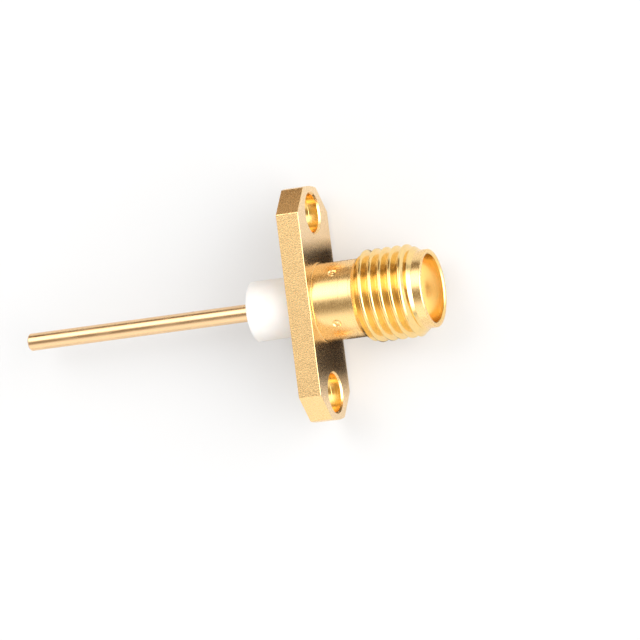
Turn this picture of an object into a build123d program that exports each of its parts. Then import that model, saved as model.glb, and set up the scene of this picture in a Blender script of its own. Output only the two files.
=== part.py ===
"""Two-hole flange jack of a small threaded coaxial connector, with a long solder tail.

Millimetres. The origin is the centre of the flange's back face. X runs along the
connector's axis towards its mouth, Y along the flange and Z across it.
"""

from build123d import *

import os
from math import radians, tan

# Flange: a turned disc with its sides and corners milled off
flange_diameter = 15.9
flange_width = 5.85
flange_thickness = 1.6
corner_run = 1.77  # corner chamfer, along Y
corner_rise = 1.95  # corner chamfer, across Z
flange_edge_break = 0.06
screw_hole_diameter = 2.65
screw_hole_break = 0.12
screw_end_wall = 0.525  # metal between a screw hole and the flange's end

# Barrel, with stations along X from the flange's back face
collar_diameter = 5.52
collar_height = 0.12
barrel_diameter = 5.3
nose_diameter = 5.3
mouth_station = 9.45
rim_break = 0.07
recess_diameter = 4.6
recess_depth = 1.9
recess_lead_in = 0.1

# Thread: 36 turns to the inch, right-handed
thread_diameter = 6.3
thread_pitch = 25.4 / 36
thread_depth = 0.42
thread_root_flat = 0.12
thread_flank_angle = 30.0
thread_start = 4.2
thread_length = 4.6
thread_run_in = 0.75
thread_run_out = 0.5
crest_station = 5.3  # a full crest, on the +Z side

# Stakes: punched through the barrel's wall to hold the insulator
stake_count = 4
stake_station = 3.1
stake_first_angle = 40.0  # from +Y towards +Z
stake_diameter = 0.62
stake_depth = 0.16
stake_bulge = 0.08  # how far the wall stands into the insulator

# Insulator
insulator_diameter = 4.1
insulator_tail = 3.3  # behind the flange's back face
insulator_fit = 0.02  # clearance on the diameter
insulator_edge_break = 0.05

# Centre contact: a slotted socket in front, a solder tail behind
contact_diameter = 1.27
contact_setback = 0.05  # behind the insulator's front face
contact_fit = 0.02  # clearance on the diameter
contact_edge_break = 0.06
socket_diameter = 0.94
socket_depth = 2.4
socket_lead_in = 0.08
drill_tip_angle = 59.0
slot_width = 0.16
slot_length = 2.0
barb_station = 3.6
barb_diameter = 1.56
barb_length = 0.5
shoulder_station = 0.6  # where the contact steps down to its tail
tail_diameter = 1.2
tail_tip = 20.1  # behind the flange's back face
tail_tip_break = 0.12

screw_radius = screw_hole_diameter / 2
screw_spacing = flange_diameter - screw_hole_diameter - 2 * screw_end_wall
barrel_radius = barrel_diameter / 2
collar_radius = collar_diameter / 2
nose_radius = nose_diameter / 2
thread_radius = thread_diameter / 2
thread_end = thread_start + thread_length
recess_radius = recess_diameter / 2
recess_floor = mouth_station - recess_depth
insulator_radius = insulator_diameter / 2
contact_radius = contact_diameter / 2
contact_front = recess_floor - contact_setback
socket_radius = socket_diameter / 2
socket_floor = contact_front - socket_depth
tail_radius = tail_diameter / 2
barb_radius = barb_diameter / 2
stake_radius = stake_diameter / 2
contact_gap = contact_fit / 2
insulator_gap = insulator_fit / 2
body_bore_radius = insulator_radius + insulator_gap
bulge_distance = body_bore_radius - stake_bulge


def stake_planes(distance):
    """One plane for each stake, this far from the axis, facing away from it."""
    planes = []
    for n in range(stake_count):
        outward = Vector(0, 1, 0).rotate(Axis.X, stake_first_angle + n * 360 / stake_count)
        origin = Vector(stake_station, 0, 0) + outward * distance
        planes.append(Plane(origin=origin, x_dir=(1, 0, 0), z_dir=outward))
    return planes


def cap_ball_radius(rim_radius, height):
    """Radius of the ball whose cap has this rim radius and height."""
    return (rim_radius**2 + height**2) / (2 * height)


# One turn of the thread's groove, starting on the +Z side at X = 0
with BuildPart() as groove_turn:
    with BuildLine():
        groove_path = Helix(
            pitch=thread_pitch, height=thread_pitch, radius=thread_radius, direction=(1, 0, 0)
        )
    flank_slope = tan(radians(thread_flank_angle))
    groove_half_width = thread_root_flat / 2 + thread_depth * flank_slope
    groove_outside = (thread_pitch / 2 - groove_half_width) / 2
    with BuildSketch(Plane(origin=groove_path @ 0, x_dir=groove_path @ 0, z_dir=groove_path % 0)):
        with BuildLine():
            Polyline(
                (-thread_depth, -thread_root_flat / 2),
                (groove_outside, -groove_half_width - groove_outside * flank_slope),
                (groove_outside, groove_half_width + groove_outside * flank_slope),
                (-thread_depth, thread_root_flat / 2),
                close=True,
            )
        make_face()
    sweep(path=groove_path, is_frenet=True)

# Connector body: the flange and the threaded barrel, one piece
with BuildPart() as connector_body:
    half_length = flange_diameter / 2
    half_width = flange_width / 2
    with BuildSketch(Plane.YZ):
        with BuildLine():
            Polyline(
                (half_length, half_width - corner_rise),
                (half_length - corner_run, half_width),
                (corner_run - half_length, half_width),
                (-half_length, half_width - corner_rise),
                (-half_length, corner_rise - half_width),
                (corner_run - half_length, -half_width),
                (half_length - corner_run, -half_width),
                (half_length, corner_rise - half_width),
                close=True,
            )
        make_face()
        Circle(half_length, mode=Mode.INTERSECT)
    extrude(amount=flange_thickness)
    chamfer(connector_body.faces().filter_by(Axis.X).edges(), length=flange_edge_break)

    with BuildSketch(Plane.XY):
        with BuildLine():
            Polyline(
                (flange_thickness, 0),
                (flange_thickness, collar_radius),
                (flange_thickness + collar_height, collar_radius),
                (flange_thickness + collar_height, barrel_radius),
                (thread_start, barrel_radius),
                (thread_start + thread_run_in, thread_radius),
                (thread_end - thread_run_out, thread_radius),
                (thread_end, nose_radius),
                (mouth_station - rim_break, nose_radius),
                (mouth_station, nose_radius - rim_break),
                (mouth_station, 0),
                close=True,
            )
        make_face()
    revolve(axis=Axis.X)

    # The groove is cut turn by turn, from before the thread to beyond it
    turn_start = crest_station + thread_pitch / 2
    while turn_start > thread_start - thread_pitch:
        turn_start -= thread_pitch
    while turn_start < thread_end + thread_pitch / 2:
        with Locations((turn_start, 0, 0)):
            add(groove_turn.part, mode=Mode.SUBTRACT)
        turn_start += thread_pitch

    with Locations(connector_body.faces().sort_by(Axis.X)[-1]):
        CounterBoreHole(
            radius=body_bore_radius,
            counter_bore_radius=recess_radius,
            counter_bore_depth=recess_depth,
        )
    mouth_face = connector_body.faces().sort_by(Axis.X)[-1]
    chamfer(mouth_face.inner_wires().edges(), length=recess_lead_in)

    with Locations(Plane.YZ.offset(flange_thickness)):
        with GridLocations(screw_spacing, 1, 2, 1):
            CounterSinkHole(
                radius=screw_radius,
                counter_sink_radius=screw_radius + screw_hole_break,
                counter_sink_angle=90,
            )

    # Each stake is a round dimple outside and a low bulge inside the bore
    stake_ball = cap_ball_radius(stake_radius, stake_depth)
    with Locations(*stake_planes(barrel_radius - stake_depth + stake_ball)):
        Sphere(stake_ball, mode=Mode.SUBTRACT)
    with BuildSketch(*stake_planes(bulge_distance)):
        Circle(stake_radius)
    extrude(amount=stake_bulge + (barrel_radius - body_bore_radius) / 2)

# Insulator: a turned rod around the centre contact
with BuildPart() as insulator:
    with BuildSketch(Plane.XY):
        with BuildLine():
            Polyline(
                (-insulator_tail, tail_radius + contact_gap),
                (-insulator_tail, insulator_radius - insulator_edge_break),
                (-insulator_tail + insulator_edge_break, insulator_radius),
                (recess_floor, insulator_radius),
                (recess_floor, contact_radius + contact_gap),
                (barb_station + barb_length + contact_gap, contact_radius + contact_gap),
                (barb_station + barb_length + contact_gap, barb_radius + contact_gap),
                (barb_station, contact_radius + contact_gap),
                (shoulder_station, contact_radius + contact_gap),
                (shoulder_station, tail_radius + contact_gap),
                close=True,
            )
        make_face()
    revolve(axis=Axis.X)
    with BuildSketch(*stake_planes(bulge_distance - insulator_gap)):
        Circle(stake_radius + insulator_gap)
    extrude(amount=stake_bulge + barrel_radius - body_bore_radius, mode=Mode.SUBTRACT)

# Centre contact
with BuildPart() as center_contact:
    with BuildSketch(Plane.XY):
        with BuildLine():
            Polyline(
                (-tail_tip, 0),
                (-tail_tip, tail_radius - tail_tip_break),
                (-tail_tip + tail_tip_break, tail_radius),
                (shoulder_station, tail_radius),
                (shoulder_station, contact_radius),
                (barb_station, contact_radius),
                (barb_station + barb_length, barb_radius),
                (barb_station + barb_length, contact_radius),
                (contact_front - contact_edge_break, contact_radius),
                (contact_front, contact_radius - contact_edge_break),
                (contact_front, socket_radius + socket_lead_in),
                (contact_front - socket_lead_in, socket_radius),
                (socket_floor, socket_radius),
                (socket_floor - socket_radius / tan(radians(drill_tip_angle)), 0),
                close=True,
            )
        make_face()
    revolve(axis=Axis.X)
    with BuildSketch(Plane.YZ.offset(contact_front)):
        Rectangle(contact_diameter, slot_width)
        Rectangle(slot_width, contact_diameter)
    extrude(amount=-slot_length, mode=Mode.SUBTRACT)

connector_body.part.label = "connector_body"
insulator.part.label = "insulator"
center_contact.part.label = "center_contact"

os.makedirs("parts", exist_ok=True)
export_step(connector_body.part, "parts/connector_body.step")
export_step(insulator.part, "parts/insulator.step")
export_step(center_contact.part, "parts/center_contact.step")
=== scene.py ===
# %% [markdown]
# # A threaded coaxial jack, dressed for its portrait
#
# This small jack carries radio signals through the wall of an instrument. Two screws hold its
# flange to the wall, a plug's nut turns onto its thread, and a solder tail reaches the circuit
# behind. It is brass under a thin coat of gold, with a white fluoropolymer rod inside.
#
# The exact solids are already made and packed. Here each of them gets a finer mesh, with the
# small rounded edges that catch the light, and a finish made only of shader nodes.

# %% Load the exact model as a fixed frame
from math import cos, pi, radians, sin, tan

import bpy
from mathutils import Matrix, Vector


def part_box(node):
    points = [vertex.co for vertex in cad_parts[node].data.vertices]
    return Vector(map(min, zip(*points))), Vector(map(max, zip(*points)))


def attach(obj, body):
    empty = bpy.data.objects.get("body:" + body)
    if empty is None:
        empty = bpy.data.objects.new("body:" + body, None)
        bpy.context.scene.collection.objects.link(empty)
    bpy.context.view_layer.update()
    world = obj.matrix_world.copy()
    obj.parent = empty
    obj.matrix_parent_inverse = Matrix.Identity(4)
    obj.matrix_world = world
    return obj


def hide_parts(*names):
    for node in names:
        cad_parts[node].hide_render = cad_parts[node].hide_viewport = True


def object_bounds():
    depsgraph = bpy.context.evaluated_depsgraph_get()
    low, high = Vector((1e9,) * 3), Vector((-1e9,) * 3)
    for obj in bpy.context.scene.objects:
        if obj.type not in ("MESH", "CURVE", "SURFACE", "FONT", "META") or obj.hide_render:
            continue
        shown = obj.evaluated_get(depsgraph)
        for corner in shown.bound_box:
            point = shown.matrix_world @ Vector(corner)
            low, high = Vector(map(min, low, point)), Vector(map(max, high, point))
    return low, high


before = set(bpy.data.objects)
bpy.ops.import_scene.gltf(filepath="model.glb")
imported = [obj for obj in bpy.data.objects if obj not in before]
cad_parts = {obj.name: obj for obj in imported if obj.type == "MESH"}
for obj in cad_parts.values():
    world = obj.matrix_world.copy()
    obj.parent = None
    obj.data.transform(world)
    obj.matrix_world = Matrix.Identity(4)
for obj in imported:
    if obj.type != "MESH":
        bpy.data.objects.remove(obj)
cad_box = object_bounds()
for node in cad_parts:
    low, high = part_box(node)
    print(node, "from", [round(v * 1000, 2) for v in low], "to", [round(v * 1000, 2) for v in high])

# %% [markdown]
# ## Working in millimetres
#
# Blender's bevel and boolean tools lose their footing on edges of a few hundredths of a
# millimetre when a unit is a metre. So each piece is modelled as if one unit were a millimetre,
# and it shrinks a thousand times when it is done. The X axis is the jack's own axis: it points
# to the mouth. The flange lies along Y. The overall sizes are read from the frame, so that the
# new pieces fill the same boxes as the solids that they replace.

# %% Read the overall sizes from the frame
MM = 0.001


def in_mm(length):
    """A length of the frame in millimetres, to a hundredth."""
    return round(length / MM, 2)


body_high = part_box("connector_body")[1]
rod_low, rod_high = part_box("insulator")
pin_low, pin_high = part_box("center_contact")
MOUTH = in_mm(body_high.x)
FLANGE_RADIUS = in_mm(body_high.y)
CREST_RADIUS = in_mm(body_high.z)
INSULATOR_END = in_mm(rod_low.x)
RECESS_FLOOR = in_mm(rod_high.x)
INSULATOR_RADIUS = in_mm(rod_high.y)
TAIL_TIP = in_mm(pin_low.x)
CONTACT_FRONT = in_mm(pin_high.x)
print("from the tail's tip at", TAIL_TIP, "to the mouth at", MOUTH)

# %% [markdown]
# ## A lathe in four operators
#
# Most pieces here are turned parts. On a lathe a bar spins while a tool follows an outline.
# Blender's Spin does the same: an outline of (station, radius) pairs is drawn by extruding one
# vertex from point to point, and then spun round the X axis.

# %% Draw an outline and spin it
FACETS = 192
MERGE = 1e-4  # points nearer than this are one point


def start_fresh():
    """Leaves edit mode and deselects everything, so that an operator meets only its own piece."""
    if bpy.context.object and bpy.context.object.mode != "OBJECT":
        bpy.ops.object.mode_set(mode="OBJECT")
    bpy.ops.object.select_all(action="DESELECT")


def pick(piece):
    """Makes this piece the only one selected, and the active one."""
    start_fresh()
    piece.select_set(True)
    bpy.context.view_layer.objects.active = piece


def draw_outline(name, points):
    """A chain of edges through (station, radius) points, in the plane of X and Z."""
    start_fresh()
    bpy.ops.mesh.primitive_plane_add(size=0.1)
    piece = bpy.context.object
    piece.name = name
    bpy.ops.object.mode_set(mode="EDIT")
    bpy.ops.mesh.select_mode(type="VERT")
    bpy.ops.mesh.select_all(action="SELECT")
    bpy.ops.mesh.merge(type="CENTER")
    here = (0, 0)
    for number, point in enumerate(points):
        step = (point[0] - here[0], 0, point[1] - here[1])
        if number == 0:
            bpy.ops.transform.translate(value=step)
        else:
            bpy.ops.mesh.extrude_region_move(TRANSFORM_OT_translate={"value": step})
        here = point
    bpy.ops.mesh.select_all(action="SELECT")
    bpy.ops.mesh.remove_doubles(threshold=MERGE)
    return piece


def close_skin(piece):
    """Merges what coincides and turns every face outwards."""
    bpy.ops.mesh.select_all(action="SELECT")
    bpy.ops.mesh.remove_doubles(threshold=MERGE)
    bpy.ops.mesh.dissolve_degenerate(threshold=MERGE)
    bpy.ops.mesh.delete_loose()
    bpy.ops.mesh.select_all(action="SELECT")
    bpy.ops.mesh.normals_make_consistent(inside=False)
    bpy.ops.object.mode_set(mode="OBJECT")


def turn(name, points, facets=FACETS):
    """A turned piece: a closed outline of (station, radius) points, spun round the X axis."""
    piece = draw_outline(name, points + points[:1])
    bpy.ops.mesh.spin(steps=facets, angle=2 * pi, center=(0, 0, 0), axis=(1, 0, 0))
    close_skin(piece)
    print(name, "has", len(piece.data.polygons), "faces")
    return piece


# %% [markdown]
# ## Breaking edges, and cutting one piece with another
#
# No real edge is perfectly sharp, and a rounded one draws the thin line of light that tells the
# eye it is metal. The Bevel modifier rounds every edge over a chosen angle at once. Holes and
# slots are cut as in a workshop: a tool is modelled, brought to its place and subtracted.

# %% Bevel and boolean helpers
def apply_modifier(piece, kind, **settings):
    """Adds one modifier, sets it and applies it."""
    pick(piece)
    modifier = piece.modifiers.new(kind.lower(), kind)
    for key, value in settings.items():
        setattr(modifier, key, value)
    bpy.ops.object.modifier_apply(modifier=modifier.name)


def soften(piece, width, segments=3, angle=25):
    """Breaks every sharp edge, as tumbling and plating do."""
    apply_modifier(
        piece, "BEVEL", width=width, segments=segments, limit_method="ANGLE",
        angle_limit=radians(angle), use_clamp_overlap=True,
    )


def combine(piece, operation, *others):
    """Joins, cuts or intersects a piece with others, and removes those."""
    for other in others:
        apply_modifier(
            piece, "BOOLEAN", operation=operation, object=other, solver="MANIFOLD",
        )
        bpy.data.objects.remove(other)


# %% [markdown]
# ## The barrel, turned
#
# The barrel is a tube. Its outline goes once round the cut section: along the outside from the
# flange, up the chamfer where the thread begins, down the chamfer where it ends, round the rim,
# and back inside through the recess that takes the plug. The thread is still solid here.

# %% Turn the barrel's blank
BARREL_RADIUS = 2.65
BORE_RADIUS = 2.06
RECESS_RADIUS = 2.3
RIM_BREAK = 0.07
LEAD_IN = 0.1
FLANGE_FRONT = 1.6
INSIDE_FLANGE = 1.45  # where the barrel starts, sunk into the flange
THREAD_START = 4.5
RUN_IN_END = 5.1
RUN_OUT_START = 8.18
THREAD_END = 8.8


def scribe(station, depth, half_width):
    """Three points of the outline that scribe a fine ring round the barrel."""
    return [
        (station - half_width, BARREL_RADIUS),
        (station, BARREL_RADIUS - depth),
        (station + half_width, BARREL_RADIUS),
    ]


barrel = turn("barrel", [
    (INSIDE_FLANGE, BORE_RADIUS),
    (INSIDE_FLANGE, BARREL_RADIUS),
    *scribe(3.57, 0.01, 0.03),
    *scribe(4.32, 0.015, 0.04),
    (THREAD_START, BARREL_RADIUS),
    (RUN_IN_END, CREST_RADIUS),
    (RUN_OUT_START, CREST_RADIUS),
    (THREAD_END, BARREL_RADIUS),
    (MOUTH - RIM_BREAK, BARREL_RADIUS),
    (MOUTH, BARREL_RADIUS - RIM_BREAK),
    (MOUTH, RECESS_RADIUS + LEAD_IN),
    (MOUTH - LEAD_IN, RECESS_RADIUS),
    (RECESS_FLOOR, RECESS_RADIUS),
    (RECESS_FLOOR, BORE_RADIUS),
])
soften(barrel, 0.025, segments=2)

# %% [markdown]
# ## The thread, cut along a helix
#
# A screw thread is one groove that climbs a pitch with each turn. It could be a bump map, but
# then the barrel's outline would stay straight, and here the outline shows against the floor.
# So the profile of one pitch (root, flank, crest, flank, root) is drawn once, its corners are
# rounded, and the Screw modifier sweeps it along its helix. The rod that this makes is longer
# than the barrel. What the rod and the blank have in common is the threaded barrel: the blank's
# two chamfers run the groove out at both ends, just as they do on the lathe.

# %% Draw one pitch of the thread
PITCH = 25.4 / 36
THREAD_DEPTH = 0.44
FLANK_ANGLE = 30
CREST_FLAT = 0.17
CREST_ROUNDING = 0.08
ROOT_ROUNDING = 0.012
CREST_STATION = 5.3  # a full crest, on the +Z side
TURNS = 13
TURNS_BEFORE = 6

root_radius = CREST_RADIUS - THREAD_DEPTH
crest_reach = CREST_RADIUS + 0.004
flank = THREAD_DEPTH * tan(radians(FLANK_ANGLE))
first_crest = CREST_STATION - TURNS_BEFORE * PITCH
thread_rod = draw_outline("thread_rod", [
    (first_crest - PITCH / 2, root_radius),
    (first_crest - CREST_FLAT / 2 - flank, root_radius),
    (first_crest - CREST_FLAT / 2, crest_reach),
    (first_crest + CREST_FLAT / 2, crest_reach),
    (first_crest + CREST_FLAT / 2 + flank, root_radius),
    (first_crest + PITCH / 2, root_radius),
])
for level, rounding in ((crest_reach, CREST_ROUNDING), (root_radius, ROOT_ROUNDING)):
    bpy.ops.mesh.select_all(action="DESELECT")
    bpy.ops.object.mode_set(mode="OBJECT")
    for corner in thread_rod.data.vertices:
        inner = abs(corner.co.x - first_crest) < PITCH / 2 - MERGE
        corner.select = inner and abs(corner.co.z - level) < MERGE
    bpy.ops.object.mode_set(mode="EDIT")
    bpy.ops.mesh.bevel(offset=rounding, segments=6, affect="VERTICES")
bpy.ops.object.mode_set(mode="OBJECT")
print("one pitch of the thread is drawn with", len(thread_rod.data.vertices), "points")

# %% [markdown]
# The Screw modifier leaves a tube that is open at both ends, and a boolean needs a closed solid.
# So each open rim is extruded and merged into one point. Both ends lie outside the barrel, so
# nothing of them is left after the intersection.

# %% Sweep the thread and intersect it with the blank
STEPS_A_TURN = 128

apply_modifier(
    thread_rod, "SCREW", axis="X", angle=2 * pi, screw_offset=PITCH, iterations=TURNS,
    steps=STEPS_A_TURN, render_steps=STEPS_A_TURN, use_merge_vertices=False,
    use_smooth_shade=False,
)


def close_rod_end(rod, in_front):
    """Draws the open rim at the rod's front or back end together in one point."""
    pick(rod)
    bpy.ops.object.mode_set(mode="EDIT")
    bpy.ops.mesh.select_mode(type="EDGE")
    bpy.ops.mesh.select_non_manifold(
        extend=False, use_wire=False, use_multi_face=False, use_non_contiguous=False,
        use_verts=False,
    )
    bpy.ops.object.mode_set(mode="OBJECT")
    corners = rod.data.vertices
    for edge in rod.data.edges:
        if edge.select and (corners[edge.vertices[0]].co.x > CREST_STATION) != in_front:
            edge.select = False
    bpy.ops.object.mode_set(mode="EDIT")
    bpy.ops.mesh.extrude_edges_move()
    bpy.ops.mesh.merge(type="CENTER")


pick(thread_rod)
bpy.ops.object.mode_set(mode="EDIT")
bpy.ops.mesh.select_all(action="SELECT")
bpy.ops.mesh.remove_doubles(threshold=MERGE)
close_rod_end(thread_rod, in_front=False)
close_rod_end(thread_rod, in_front=True)
close_skin(thread_rod)
for corner in thread_rod.data.vertices:
    on_top = abs(corner.co.y) < MERGE and corner.co.z > crest_reach - MERGE
    if on_top and abs(corner.co.x - CREST_STATION) < PITCH / 2:
        print("a crest stands on the +Z side at", round(corner.co.x, 3))
combine(barrel, "INTERSECT", thread_rod)
print("the threaded barrel has", len(barrel.data.polygons), "faces")

# %% [markdown]
# ## The flange
#
# The real flange begins as a turned disc. Its long sides are then milled and its four corners
# cut off, so that only two short arcs of the disc are left at its ends. Bisect does both: each
# cut keeps what lies inside its plane and fills the cut.

# %% Mill the flange out of a disc
FLANGE_FACETS = 256
FLANGE_HALF_WIDTH = 2.925
CORNER_RUN = 1.77
CORNER_RISE = 1.95

start_fresh()
bpy.ops.mesh.primitive_cylinder_add(
    vertices=FLANGE_FACETS, radius=FLANGE_RADIUS, depth=FLANGE_FRONT,
    location=(FLANGE_FRONT / 2, 0, 0), rotation=(0, pi / 2, 0),
)
body = bpy.context.object
body.name = "jack_body"
bpy.ops.object.transform_apply(location=True, rotation=True, scale=True)
bpy.ops.object.mode_set(mode="EDIT")
cuts = [((0, 0, side * FLANGE_HALF_WIDTH), (0, 0, side)) for side in (-1, 1)]
for side in (-1, 1):
    for end in (-1, 1):
        corner_point = (0, end * (FLANGE_RADIUS - CORNER_RUN), side * FLANGE_HALF_WIDTH)
        cuts.append((corner_point, (0, end * CORNER_RISE, side * CORNER_RUN)))
for point, outward in cuts:
    bpy.ops.mesh.select_all(action="SELECT")
    bpy.ops.mesh.bisect(plane_co=point, plane_no=outward, use_fill=True, clear_outer=True)
bpy.ops.mesh.select_all(action="SELECT")
bpy.ops.mesh.remove_doubles(threshold=MERGE)
bpy.ops.object.mode_set(mode="OBJECT")
soften(body, 0.055)
print("the milled flange has", len(body.data.polygons), "faces")

# %% [markdown]
# The two screw holes are drilled from both faces, which leaves a hair-fine step half-way, and
# their edges are broken with a cone. A drill is itself a turned shape, so the same helper makes
# it. Each tool reaches a little past the metal, because a boolean is surest where no two faces
# lie in one plane.

# %% Drill the flange
SCREW_RADIUS = 1.325
SCREW_OUT = 6.1  # from the jack's axis to a screw hole's
SCREW_BREAK = 0.12
DRILL_STEP = 0.012
STEP_STATION = 0.82
BACK_BREAK = 0.02
PAST = 0.4

for end in (-1, 1):
    drill = turn("screw_drill", [
        (-PAST, 0),
        (-PAST, SCREW_RADIUS + PAST + BACK_BREAK),
        (BACK_BREAK, SCREW_RADIUS),
        (STEP_STATION, SCREW_RADIUS),
        (STEP_STATION + 0.02, SCREW_RADIUS + DRILL_STEP),
        (FLANGE_FRONT - SCREW_BREAK, SCREW_RADIUS + DRILL_STEP),
        (FLANGE_FRONT, SCREW_RADIUS + SCREW_BREAK),
        (FLANGE_FRONT + PAST, SCREW_RADIUS + SCREW_BREAK + PAST),
        (FLANGE_FRONT + PAST, 0),
    ], facets=96)
    drill.location.y = end * SCREW_OUT
    combine(body, "DIFFERENCE", drill)
drilled_bore = BORE_RADIUS + 0.01
bore_drill = turn("bore_drill", [
    (-PAST, 0),
    (-PAST, drilled_bore + BACK_BREAK + PAST),
    (0, drilled_bore + BACK_BREAK),
    (BACK_BREAK, drilled_bore),
    (FLANGE_FRONT + PAST, drilled_bore),
    (FLANGE_FRONT + PAST, 0),
])
combine(body, "DIFFERENCE", bore_drill)
print("the drilled flange has", len(body.data.polygons), "faces")

# %% [markdown]
# The barrel grows out of the flange through a low lip, which the lathe leaves there. Lip and
# barrel start a little way inside the flange, so that the union has no gap to close.

# %% Add the lip and the barrel
LIP_RADIUS = 2.75
LIP_HEIGHT = 0.14
LIP_INSIDE = 2.5

lip = turn("lip", [
    (INSIDE_FLANGE, LIP_INSIDE),
    (INSIDE_FLANGE, LIP_RADIUS + 0.02),
    (FLANGE_FRONT + LIP_HEIGHT - 0.03, LIP_RADIUS),
    (FLANGE_FRONT + LIP_HEIGHT, LIP_RADIUS - 0.15),
    (FLANGE_FRONT + LIP_HEIGHT, LIP_INSIDE),
])
soften(lip, 0.03, segments=2)
combine(body, "UNION", lip, barrel)
print("the body has", len(body.data.polygons), "faces")

# %% [markdown]
# ## The stake marks
#
# Four times round the barrel a hollow punch has driven the wall into the insulator, so that the
# plug can't push it out. Each blow leaves a sharp round edge, with a small pip in the middle.

# %% Punch the four stakes
STAKE_STATION = 3.1
STAKE_ANGLES = (45.6, 125.5, 225.6, 305.5)  # from +Y towards +Z
STAKE_RADIUS = 0.31
STAKE_DEPTH = 0.05
PIP_RADIUS = 0.07


def aim(tool, outward):
    """Turns a tool from the X axis to this direction and brings it to the stake."""
    tool.rotation_mode = "QUATERNION"
    tool.rotation_quaternion = outward.to_track_quat("X", "Z")
    tool.location = Vector((STAKE_STATION, 0, 0)) + outward * BARREL_RADIUS


for angle in STAKE_ANGLES:
    outward = Vector((0, cos(radians(angle)), sin(radians(angle))))
    punch = turn("punch", [
        (0.2, 0),
        (0.2, STAKE_RADIUS + 0.1),
        (0, STAKE_RADIUS),
        (-0.03, STAKE_RADIUS - 0.02),
        (-STAKE_DEPTH - 0.03, STAKE_RADIUS - 0.09),
        (-STAKE_DEPTH, PIP_RADIUS + 0.08),
        (-STAKE_DEPTH, PIP_RADIUS),
        (0, PIP_RADIUS - 0.04),
        (0.03, 0.01),
        (0.04, 0),
    ], facets=48)
    aim(punch, outward)
    combine(body, "DIFFERENCE", punch)
print("after the stakes the body has", len(body.data.polygons), "faces")

# %% [markdown]
# ## The insulator
#
# One rod of white fluoropolymer fills the body from the recess to well behind the flange. It is
# cut with a knife-sharp tool but is soft, so its edges are a little rounder than the metal's.

# %% Turn the insulator
CONTACT_RADIUS = 0.635
TAIL_RADIUS = 0.6
SHOULDER = 0.6  # the station where the contact steps down to its tail
CONTACT_FIT = 0.012

insulator = turn("insulator_rod", [
    (INSULATOR_END, TAIL_RADIUS + CONTACT_FIT),
    (INSULATOR_END, INSULATOR_RADIUS),
    (RECESS_FLOOR, INSULATOR_RADIUS),
    (RECESS_FLOOR, CONTACT_RADIUS + CONTACT_FIT),
    (SHOULDER, CONTACT_RADIUS + CONTACT_FIT),
    (SHOULDER, TAIL_RADIUS + CONTACT_FIT),
])
soften(insulator, 0.09, segments=4, angle=60)

# %% [markdown]
# ## The centre contact
#
# The contact is a single turned pin. Its front end is bored to take the plug's pin, and two
# crossed saw cuts split it into four springy tines. Its back end is the plain solder tail.

# %% Turn the contact
TIP_BREAK = 0.1
SOCKET_BREAK = 0.06
SOCKET_RADIUS = 0.47
SOCKET_DEPTH = 2.4
DRILL_TIP = 0.28

contact = turn("centre_pin", [
    (TAIL_TIP, 0),
    (TAIL_TIP, TAIL_RADIUS - TIP_BREAK),
    (TAIL_TIP + TIP_BREAK, TAIL_RADIUS),
    (SHOULDER, TAIL_RADIUS),
    (SHOULDER + 0.02, CONTACT_RADIUS),
    (CONTACT_FRONT - SOCKET_BREAK, CONTACT_RADIUS),
    (CONTACT_FRONT, CONTACT_RADIUS - SOCKET_BREAK),
    (CONTACT_FRONT, SOCKET_RADIUS + SOCKET_BREAK),
    (CONTACT_FRONT - SOCKET_BREAK, SOCKET_RADIUS),
    (CONTACT_FRONT - SOCKET_DEPTH, SOCKET_RADIUS),
    (CONTACT_FRONT - SOCKET_DEPTH - DRILL_TIP, 0),
], facets=96)
soften(contact, 0.02, segments=2)

# %% [markdown]
# The saw is a thin block, longer and wider than the cut. It cuts once, turns by a quarter and
# cuts again, which leaves the four tines.

# %% Saw the contact's slots
SLOT_WIDTH = 0.16
SLOT_DEPTH = 2.0
SAW_PAST = 0.2
SAW_HEIGHT = 1.5

for turned in (0, pi / 2):
    start_fresh()
    middle = CONTACT_FRONT + (SAW_PAST - SLOT_DEPTH) / 2
    bpy.ops.mesh.primitive_cube_add(size=1, location=(middle, 0, 0))
    saw = bpy.context.object
    saw.dimensions = (SLOT_DEPTH + SAW_PAST, SLOT_WIDTH, SAW_HEIGHT)
    saw.rotation_euler.x = turned
    combine(contact, "DIFFERENCE", saw)
print("the contact has", len(contact.data.polygons), "faces")

# %% [markdown]
# ## Gold
#
# Gold plate is a clear metal colour, and what tells one surface from another is how it was cut
# before it was plated. A turned surface has fine rings round the axis. A milled one has a
# sandy, sparkling grain. A thread and a bored hole are cut by a fresh edge and shine. All of
# this is noise in object coordinates: stretched round the axis for the rings, and even in all
# directions for the grain. Every finish needs the same few nodes, so these come first, as
# helpers.

# %% Node helpers
def new_material(name):
    """A material with its nodes, its links and its main shader."""
    material = bpy.data.materials.new(name)
    material.use_nodes = True
    nodes = material.node_tree.nodes
    shader = nodes["Principled BSDF"]
    return material, nodes, material.node_tree.links, shader


def add_noise(nodes, links, coordinates, scale, detail=2.0):
    """Noise of this many bumps to the metre."""
    noise = nodes.new("ShaderNodeTexNoise")
    noise.inputs["Scale"].default_value = scale
    noise.inputs["Detail"].default_value = detail
    noise.inputs["Roughness"].default_value = 0.5
    links.new(coordinates, noise.inputs["Vector"])
    return noise.outputs["Fac"]


def add_ramp(nodes, links, factor, stops):
    """A colour that follows a value through (position, colour) stops."""
    ramp = nodes.new("ShaderNodeValToRGB")
    for position, colour in stops[2:]:
        ramp.color_ramp.elements.new(position)
    for element, (position, colour) in zip(ramp.color_ramp.elements, stops):
        element.position = position
        element.color = colour
    links.new(factor, ramp.inputs["Fac"])
    return ramp.outputs["Color"]


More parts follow.
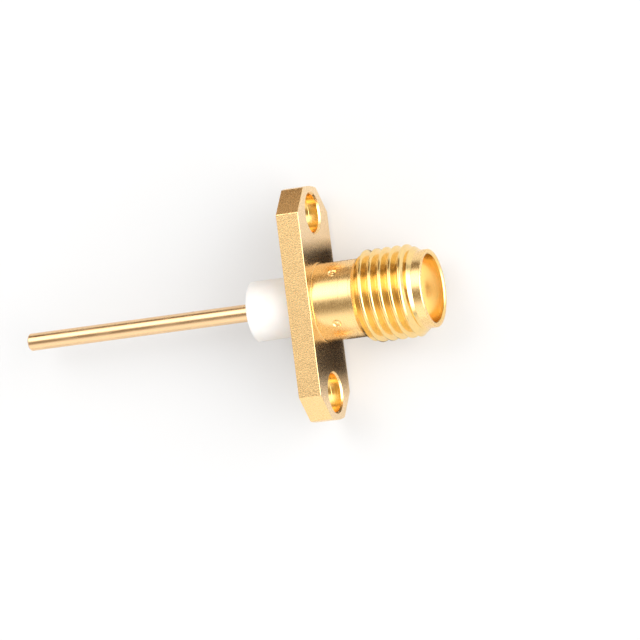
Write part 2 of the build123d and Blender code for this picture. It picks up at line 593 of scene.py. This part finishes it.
def add_bump(nodes, links, height, distance, normal=None):
    """Bumps of this height in metres, on top of another bump where one is given."""
    bump = nodes.new("ShaderNodeBump")
    bump.inputs["Distance"].default_value = distance
    bump.inputs["Strength"].default_value = 1.0
    links.new(height, bump.inputs["Height"])
    if normal:
        links.new(normal, bump.inputs["Normal"])
    return bump.outputs["Normal"]


def grey(value):
    return (value, value, value, 1)


# %% [markdown]
# One function makes every gold finish. It takes the metal's colour, how rough it is, the fineness
# and the height of its grain, and how much finer the grain is along X, Y and Z. The turned,
# threaded and bored finishes are finer along X, which draws rings. The pin is drawn through a
# die, so its grain runs along X instead. The milled and sawn finishes get a second, finer bump
# for the nicks of the cutter. The grain also shifts the colour and the roughness a little, as
# plating does over a rough ground.

# %% Mix the gold finishes
GOLD = (0.95, 0.645, 0.3, 1)
TURNED_TONE = (0.96, 0.655, 0.29, 1)
FACED_TONE = (0.93, 0.69, 0.4, 1)
THREAD_TONE = (0.97, 0.69, 0.285, 1)
BORED_TONE = (0.98, 0.67, 0.24, 1)
PIN_TONE = (0.87, 0.59, 0.33, 1)
LIGHTER = 1.03
DARKER = 0.94


def gold_finish(name, gold, roughness, grain_scale, grain_height, stretch, nicks=0.0):
    """Gold plate over a grain, with the grain's height and the nicks' height in metres."""
    material, nodes, links, shader = new_material(name)
    coordinates = nodes.new("ShaderNodeTexCoord")
    mapping = nodes.new("ShaderNodeMapping")
    mapping.inputs["Scale"].default_value = stretch
    links.new(coordinates.outputs["Object"], mapping.inputs["Vector"])
    grain = add_noise(nodes, links, mapping.outputs["Vector"], grain_scale)
    shader.inputs["Metallic"].default_value = 1
    light, dark = (tuple(c * k for c in gold[:3]) + (1,) for k in (LIGHTER, DARKER))
    tones = add_ramp(nodes, links, grain, [(0.3, dark), (0.7, light)])
    links.new(tones, shader.inputs["Base Color"])
    spread = [(0.3, grey(roughness * 0.8)), (0.7, grey(roughness * 1.25))]
    links.new(add_ramp(nodes, links, grain, spread), shader.inputs["Roughness"])
    normal = add_bump(nodes, links, grain, grain_height)
    if nicks:
        specks = add_noise(nodes, links, mapping.outputs["Vector"], grain_scale * 2, 1.0)
        normal = add_bump(nodes, links, specks, nicks, normal)
    links.new(normal, shader.inputs["Normal"])
    return material


turned_gold = gold_finish("turned_gold", TURNED_TONE, 0.26, 9000, 1.2e-6, (1.4, 0.6, 0.6))
milled_gold = gold_finish("milled_gold", GOLD, 0.25, 12000, 1e-5, (1, 1, 1), nicks=1e-5)
sawn_gold = gold_finish("sawn_gold", GOLD, 0.26, 12000, 1e-5, (1, 0.6, 0.6), nicks=1e-5)
faced_gold = gold_finish("faced_gold", FACED_TONE, 0.24, 12000, 1.2e-5, (1, 1, 1))
threaded_gold = gold_finish("threaded_gold", THREAD_TONE, 0.18, 6000, 1.2e-6, (2, 0.4, 0.4))
bored_gold = gold_finish("bored_gold", BORED_TONE, 0.22, 5000, 3e-7, (2, 0.2, 0.2))
pin_gold = gold_finish("pin_gold", PIN_TONE, 0.26, 3000, 1e-6, (0.2, 1, 1))
print("gold finishes:", [m.name for m in bpy.data.materials if m.name.endswith("_gold")])

# %% [markdown]
# ## Fluoropolymer
#
# This plastic is milky: light goes in, scatters and comes out again a little way off, which
# softens every shadow on it. Subsurface scattering does that, with a radius of just under a
# millimetre. Its surface is waxy rather than glossy, so it has a rather rough shine and a faint
# sheen along its edges.

# %% The insulator's finish
CREAM_WHITE = (0.86, 0.83, 0.8, 1)
WARM_WHITE = (0.89, 0.865, 0.84, 1)


def milky_plastic():
    """Fluoropolymer: faint clouds in its colour, a waxy bump, and light that scatters inside."""
    material, nodes, links, shader = new_material("milky_fluoropolymer")
    coordinates = nodes.new("ShaderNodeTexCoord")
    clouds = add_noise(nodes, links, coordinates.outputs["Object"], 700, 3)
    tones = [(0.3, CREAM_WHITE), (0.7, WARM_WHITE)]
    links.new(add_ramp(nodes, links, clouds, tones), shader.inputs["Base Color"])
    fine = add_noise(nodes, links, coordinates.outputs["Object"], 6000, 2)
    links.new(add_bump(nodes, links, fine, 3e-6), shader.inputs["Normal"])
    shader.inputs["Roughness"].default_value = 0.45
    shader.inputs["IOR"].default_value = 1.35
    shader.inputs["Subsurface Weight"].default_value = 1.0
    shader.inputs["Subsurface Radius"].default_value = (1.0, 0.85, 0.75)
    shader.inputs["Subsurface Scale"].default_value = 0.0009
    shader.inputs["Sheen Weight"].default_value = 0.3
    return material


fluoropolymer = milky_plastic()
print("plastic finish:", fluoropolymer.name)

# %% [markdown]
# ## Telling the tools apart
#
# Each face of the body takes the finish that its tool left. A face's station and direction tell
# which tool that was: the flange's two broad faces were faced, its long sides were milled, its
# corners were sawn off, the holes were bored, and the lathe turned and threaded the rest.

# %% Find the tool that made a face
TURNED, MILLED, SAWN, FACED, THREADED, BORED = range(6)
body_finishes = (turned_gold, milled_gold, sawn_gold, faced_gold, threaded_gold, bored_gold)
NEAR = 0.03  # a face this near a milled or sawn side belongs to it
corner_outward = Vector((0, CORNER_RISE, CORNER_RUN)).normalized()
corner_distance = corner_outward.dot(Vector((0, FLANGE_RADIUS - CORNER_RUN, FLANGE_HALF_WIDTH)))
screw_axis = Vector((0, SCREW_OUT, 0))


def tool_of(face):
    """The place, among body_finishes, of the finish that made this face."""
    middle = Vector((0, abs(face.center.y), abs(face.center.z)))
    if abs(face.normal.x) > 0.9 and face.center.x < FLANGE_FRONT + 0.01:
        return FACED
    if middle.length < RECESS_RADIUS + 0.05:
        return BORED
    if (screw_axis - middle).length < SCREW_RADIUS + 0.02:
        return BORED
    if face.center.x > FLANGE_FRONT + 0.01:
        return THREADED if THREAD_START < face.center.x < THREAD_END - 0.05 else TURNED
    if middle.z > FLANGE_HALF_WIDTH - NEAR:
        return MILLED
    if corner_outward.dot(middle) > corner_distance - NEAR:
        return SAWN
    return TURNED


for number, finish in enumerate(body_finishes):
    print(finish.name, "covers", sum(tool_of(f) == number for f in body.data.polygons), "faces")

# %% [markdown]
# ## Dressing the pieces
#
# Boolean cuts leave faces thinner than a hair, and these tilt the shading of their neighbours, so
# they are merged away first. Then each face gets its finish, and normals weighted by area keep
# the flat faces flat between their rounded edges. Last, the piece shrinks to metres, rides on the
# frame and takes the place of its solid.

# %% Give out the finishes and hand the pieces to the frame
SLIVER = 0.002


def clear_slivers(piece):
    """Merges the hair-thin faces that boolean cuts leave, because they tilt the shading."""
    pick(piece)
    bpy.ops.object.mode_set(mode="EDIT")
    bpy.ops.mesh.select_all(action="SELECT")
    bpy.ops.mesh.remove_doubles(threshold=SLIVER)
    bpy.ops.mesh.dissolve_degenerate(threshold=SLIVER)
    bpy.ops.object.mode_set(mode="OBJECT")


def finish_piece(piece, node, slot, choose, *materials):
    """Gives a piece its finishes and its real size, and puts it in its solid's place."""
    clear_slivers(piece)
    piece.data.materials.clear()
    for material in materials:
        piece.data.materials.append(material)
    for face in piece.data.polygons:
        face.material_index = choose(face)
    pick(piece)
    bpy.ops.object.transform_apply(location=True, rotation=True, scale=True)
    bpy.ops.object.shade_smooth_by_angle(angle=radians(28))
    apply_modifier(piece, "WEIGHTED_NORMAL", mode="FACE_AREA", weight=80, keep_sharp=True)
    piece.scale = (MM, MM, MM)
    bpy.ops.object.transform_apply(location=False, rotation=False, scale=True)
    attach(piece, "root")
    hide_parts(node)
    print(piece.name, "takes the place of", node, "with", len(piece.data.polygons), "faces")


finish_piece(body, "connector_body", "gold_plated_body", tool_of, *body_finishes)
finish_piece(insulator, "insulator", "white_fluoropolymer", lambda face: 0, fluoropolymer)
finish_piece(contact, "center_contact", "gold_plated_contact", lambda face: 0, pin_gold)

# %% [markdown]
# ## The table
#
# The jack lies level on a white table, on the crests of its thread. The floor adds a little
# white of its own for the camera and for reflections, so that it reads as a seamless sheet, and
# it keeps the soft shadow.

# %% Lay the floor
FLOOR_LEVEL = cad_box[0].z
FLOOR_SIZE = 3
FLOOR_COLOUR = (0.45, 0.452, 0.454, 1)
FLOOR_GLOW = 0.36


def seen_by_eye(nodes, links):
    """1 for rays of the camera, of a reflection and of glass, and 0 for the rest."""
    path = nodes.new("ShaderNodeLightPath")
    total = path.outputs["Is Camera Ray"]
    for kind in ("Is Glossy Ray", "Is Transmission Ray"):
        add = nodes.new("ShaderNodeMath")
        add.operation = "ADD"
        add.use_clamp = True
        links.new(total, add.inputs[0])
        links.new(path.outputs[kind], add.inputs[1])
        total = add.outputs[0]
    return total


def white_table():
    """Matt white, with a glow that lights nothing else."""
    material, nodes, links, shader = new_material("white_table")
    shader.inputs["Base Color"].default_value = FLOOR_COLOUR
    shader.inputs["Roughness"].default_value = 0.9
    shader.inputs["Specular IOR Level"].default_value = 0.0
    shader.inputs["Emission Color"].default_value = (1, 1, 1, 1)
    scale = nodes.new("ShaderNodeMath")
    scale.operation = "MULTIPLY"
    links.new(seen_by_eye(nodes, links), scale.inputs[0])
    scale.inputs[1].default_value = FLOOR_GLOW
    links.new(scale.outputs[0], shader.inputs["Emission Strength"])
    return material


start_fresh()
bpy.ops.mesh.primitive_plane_add(size=FLOOR_SIZE, location=(0, 0, FLOOR_LEVEL))
floor = bpy.context.object
floor.name = "floor"
floor.data.materials.append(white_table())
print("the floor's level is", round(FLOOR_LEVEL / MM, 2), "mm")

# %% [markdown]
# ## The studio round the jack
#
# Polished metal has almost no look of its own: it shows the room. A room that is white all
# round makes gold look like pale plastic. So the world is a white tent with two dim openings, a
# little warm in tone: one overhead, beside the camera, and one low beyond the flange's far
# end. Their reflections are the dark bands that make the barrel look round. Each opening is a
# soft spot round one direction, made from a dot product with the direction that a ray looks in.

# %% Sew the tent
TENT = 0.56
OVERHEAD = (-0.33, -0.28, 0.9)
BEYOND_FLANGE = (-0.3, 0.93, 0.2)
OPENING_TONES = [(0.4, (1, 0.75, 0.47, 1)), (1.0, (1, 1, 1, 1))]

world = bpy.data.worlds.new("studio")
bpy.context.scene.world = world
world.use_nodes = True
sky = world.node_tree.nodes
sky_links = world.node_tree.links
looking = sky.new("ShaderNodeTexCoord").outputs["Generated"]


def soft_spot(direction, inner_angle, outer_angle, inside, outside):
    """A value that is inside at the spot's middle and eases to outside at its edge."""
    towards = sky.new("ShaderNodeVectorMath")
    towards.operation = "DOT_PRODUCT"
    towards.inputs[1].default_value = Vector(direction).normalized()
    sky_links.new(looking, towards.inputs[0])
    edge = sky.new("ShaderNodeMapRange")
    edge.interpolation_type = "SMOOTHSTEP"
    edge.inputs["From Min"].default_value = cos(radians(outer_angle))
    edge.inputs["From Max"].default_value = cos(radians(inner_angle))
    edge.inputs["To Min"].default_value = outside
    edge.inputs["To Max"].default_value = inside
    sky_links.new(towards.outputs["Value"], edge.inputs["Value"])
    return edge.outputs["Result"]


def calculate(operation, first, second):
    """One Math node. Each of the two is a plain number or another node's output."""
    node = sky.new("ShaderNodeMath")
    node.operation = operation
    for socket, value in zip(node.inputs, (first, second)):
        if isinstance(value, float):
            socket.default_value = value
        else:
            sky_links.new(value, socket)
    return node.outputs[0]


overhead = soft_spot(OVERHEAD, 10, 25, 0.65, 1)
beyond_flange = soft_spot(BEYOND_FLANGE, 14, 56, 0.39, 1)
openings = calculate("MULTIPLY", overhead, beyond_flange)
cloth = sky["Background"]
sky_links.new(add_ramp(sky, sky_links, openings, OPENING_TONES), cloth.inputs["Color"])
sky_links.new(calculate("MULTIPLY", openings, TENT), cloth.inputs["Strength"])
print("the tent's cloth has a strength of", TENT)

# %% [markdown]
# Three soft white lamps glow through the cloth: one high on the far side, which draws the long
# highlight on the barrel, one in front of the mouth, which lights the recess, and a weak one on
# the near side. They are more soft spots, added to the cloth by a shader of their own, so
# that they stay white. The camera itself sees plain white instead of all this.

# %% Hang the glows and join the world
WHITE = (1, 1, 1, 1)
HIGH_GLOW = ((-0.34, 0.535, 0.775), 1, 32, 2.4)
MOUTH_GLOW = ((0.9, 0.0, 0.36), 14, 46, 4.8)
NEAR_GLOW = ((-0.25, -0.94, 0.25), 18, 54, 0.78)

glows = None
for direction, inner_angle, outer_angle, strength in (HIGH_GLOW, MOUTH_GLOW, NEAR_GLOW):
    glow = soft_spot(direction, inner_angle, outer_angle, strength, 0)
    glows = calculate("ADD", glows, glow) if glows else glow
lamps_seen = sky.new("ShaderNodeBackground")
lamps_seen.inputs["Color"].default_value = WHITE
sky_links.new(glows, lamps_seen.inputs["Strength"])
tent = sky.new("ShaderNodeAddShader")
sky_links.new(cloth.outputs[0], tent.inputs[0])
sky_links.new(lamps_seen.outputs[0], tent.inputs[1])

backdrop = sky.new("ShaderNodeBackground")
backdrop.inputs["Color"].default_value = WHITE
path = sky.new("ShaderNodeLightPath")
choose_sky = sky.new("ShaderNodeMixShader")
sky_links.new(path.outputs["Is Camera Ray"], choose_sky.inputs["Fac"])
sky_links.new(tent.outputs[0], choose_sky.inputs[1])
sky_links.new(backdrop.outputs[0], choose_sky.inputs[2])
sky_links.new(choose_sky.outputs[0], sky["World Output"].inputs["Surface"])
bpy.context.scene.view_settings.view_transform = "Standard"
print("the world has", len(sky), "nodes")

# %% [markdown]
# ## One lamp
#
# A world light alone throws only faint shadows. One small softbox, high over the jack, adds to
# the plastic's shading and to the table's shadow. Reflections don't see it, because its straight
# edges would show in the gold, where the glows are already.

# %% Hang the lamp
def add_softbox(name, direction, distance, width, height, power):
    """An area lamp in this direction from the jack, facing it."""
    start_fresh()
    outward = Vector(direction).normalized()
    bpy.ops.object.light_add(type="AREA", location=outward * distance)
    lamp = bpy.context.object
    lamp.name = name
    lamp.rotation_mode = "QUATERNION"
    lamp.rotation_quaternion = outward.to_track_quat("Z", "Y")
    lamp.data.shape = "RECTANGLE"
    lamp.data.size = width
    lamp.data.size_y = height
    lamp.data.energy = power
    return lamp


key = add_softbox("key_softbox", (-0.24, 0.3, 0.92), 0.5, 0.15, 0.12, 0.16)
key.visible_glossy = False
print("the lamp hangs at", [round(v, 3) for v in key.location])

# %% [markdown]
# ## Two cards that paint dark reflections
#
# Photographers of jewellery hold black cards near the metal, just out of the picture. These two
# cards paint dark reflections instead: only reflections see them, so they throw no shadow. One
# lies in front of the flange as painted shade, and its reflection is the dark lower half of the
# flange's front. A brown one, paler towards its top, stands beyond the far end, and its painted
# dark reflection shades the upper corner and the top of the barrel. They are stage and not part
# of the jack.

# %% Lay out the cards that paint dark reflections
# colours of the two cards that paint dark reflections; only reflections see them
PAINTED_SHADE_BLACK = (0.02, 0.012, 0.007, 1)
PAINTED_REFLECTION_BROWN = (0.35, 0.265, 0.195, 1)
PAINTED_REFLECTION_TAN = (0.66, 0.54, 0.42, 1)


def add_painted_reflection_card(name, place, size, tones, turned=(0, 0, 0)):
    """A card that paints a dark reflection, of this size in millimetres. Tones are stops along its
    second side.
    """
    start_fresh()
    bpy.ops.mesh.primitive_plane_add(size=1, location=Vector(place) * MM, rotation=turned)
    card = bpy.context.object
    card.name = name
    card.dimensions = (size[0] * MM, size[1] * MM, 0)
    material, nodes, links, shader = new_material(name)
    shader.inputs["Roughness"].default_value = 0.9
    split = nodes.new("ShaderNodeSeparateXYZ")
    links.new(nodes.new("ShaderNodeTexCoord").outputs["Generated"], split.inputs[0])
    links.new(add_ramp(nodes, links, split.outputs["Y"], tones), shader.inputs["Base Color"])
    card.data.materials.append(material)
    # only reflections see the card, so its colour is a painted reflection and it throws no shadow
    for ray in ("camera", "diffuse", "transmission", "shadow"):
        setattr(card, "visible_" + ray, False)
    print(name, "is", size[0], "x", size[1], "mm")


# painted shade: a near-black sheet that only reflections see, darkening the lower half of the
# flange's front
add_painted_reflection_card("painted_shade_card_in_front", (3.6, -1.1, -3.12), (3.8, 11), [
    (0.0, grey(0.7)), (0.19, PAINTED_SHADE_BLACK), (0.92, PAINTED_SHADE_BLACK), (1.0, grey(0.7)),
])
# painted dark reflection: a brown sheet, paler towards its top, darkening the upper corner and the
# top of the barrel
add_painted_reflection_card("painted_reflection_card_beyond", (-2, 13, 1.5), (8, 7), [(0.45, PAINTED_REFLECTION_BROWN), (0.78, PAINTED_REFLECTION_TAN)], (pi / 2, 0, 0))

# %% [markdown]
# ## The camera
#
# The photograph looks down on the jack from a distance of about a third of a metre, through a
# long lens. Its place and its three directions were found by matching the outline of the
# flange, the crests of the thread and the tip of the tail.

# %% Place the camera
CAMERA_PLACE = Vector((0.1159, -0.0075, 0.317))
RIGHT = Vector((0.932, -0.1262, -0.3399))
DOWN = Vector((-0.1251, -0.9918, 0.0253))
FORWARD = Vector((-0.3403, 0.0189, -0.9401))

start_fresh()
bpy.ops.object.camera_add()
camera = bpy.context.object
camera.data.lens = 281.25
camera.data.sensor_width = 36
camera.data.clip_start = 0.01
camera.data.clip_end = 20
aimed = Matrix((RIGHT, -DOWN, -FORWARD)).transposed()
camera.matrix_world = Matrix.Translation(CAMERA_PLACE) @ aimed.to_4x4()
bpy.context.scene.camera = camera
print("the camera stands", round(CAMERA_PLACE.length, 3), "m from the flange")
